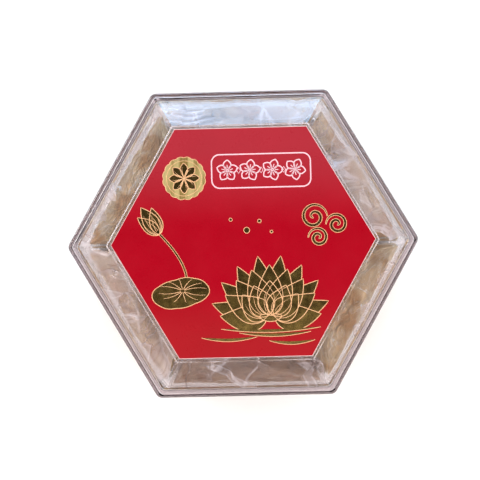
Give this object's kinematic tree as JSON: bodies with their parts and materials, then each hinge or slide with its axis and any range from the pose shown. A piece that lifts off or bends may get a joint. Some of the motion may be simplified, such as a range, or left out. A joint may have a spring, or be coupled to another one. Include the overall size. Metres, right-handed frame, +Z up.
{
  "type": "clear hexagonal gift box of edible bird's nests",
  "caption": "Clear hexagonal gift box with a faceted lid and a printed card on top, holding dried edible bird's nests wrapped in frosted film.",
  "frame": {"origin": "centre of the box's foot, on the surface it stands on", "axes": "+Z up, +Y out across a flat side, +X out through a corner; the printed card faces +Z with its top edge towards +Y"},
  "size_m": [0.1792, 0.1562, 0.051],
  "materials": {
    "clear_plastic": "polished",
    "label_print": "satin",
    "nest_strands": "satin",
    "frosted_film": "satin"
  },
  "bodies": {
    "root": {"box_base": "clear_plastic", "box_lid": "clear_plastic", "label_card": "label_print", "nest_1": "nest_strands", "nest_2": "nest_strands", "nest_3": "nest_strands", "nest_4": "nest_strands", "nest_5": "nest_strands", "nest_6": "nest_strands", "film_wrap_1": "frosted_film", "film_wrap_2": "frosted_film", "film_wrap_3": "frosted_film", "film_wrap_4": "frosted_film", "film_wrap_5": "frosted_film", "film_wrap_6": "frosted_film"}
  },
  "joints": []
}
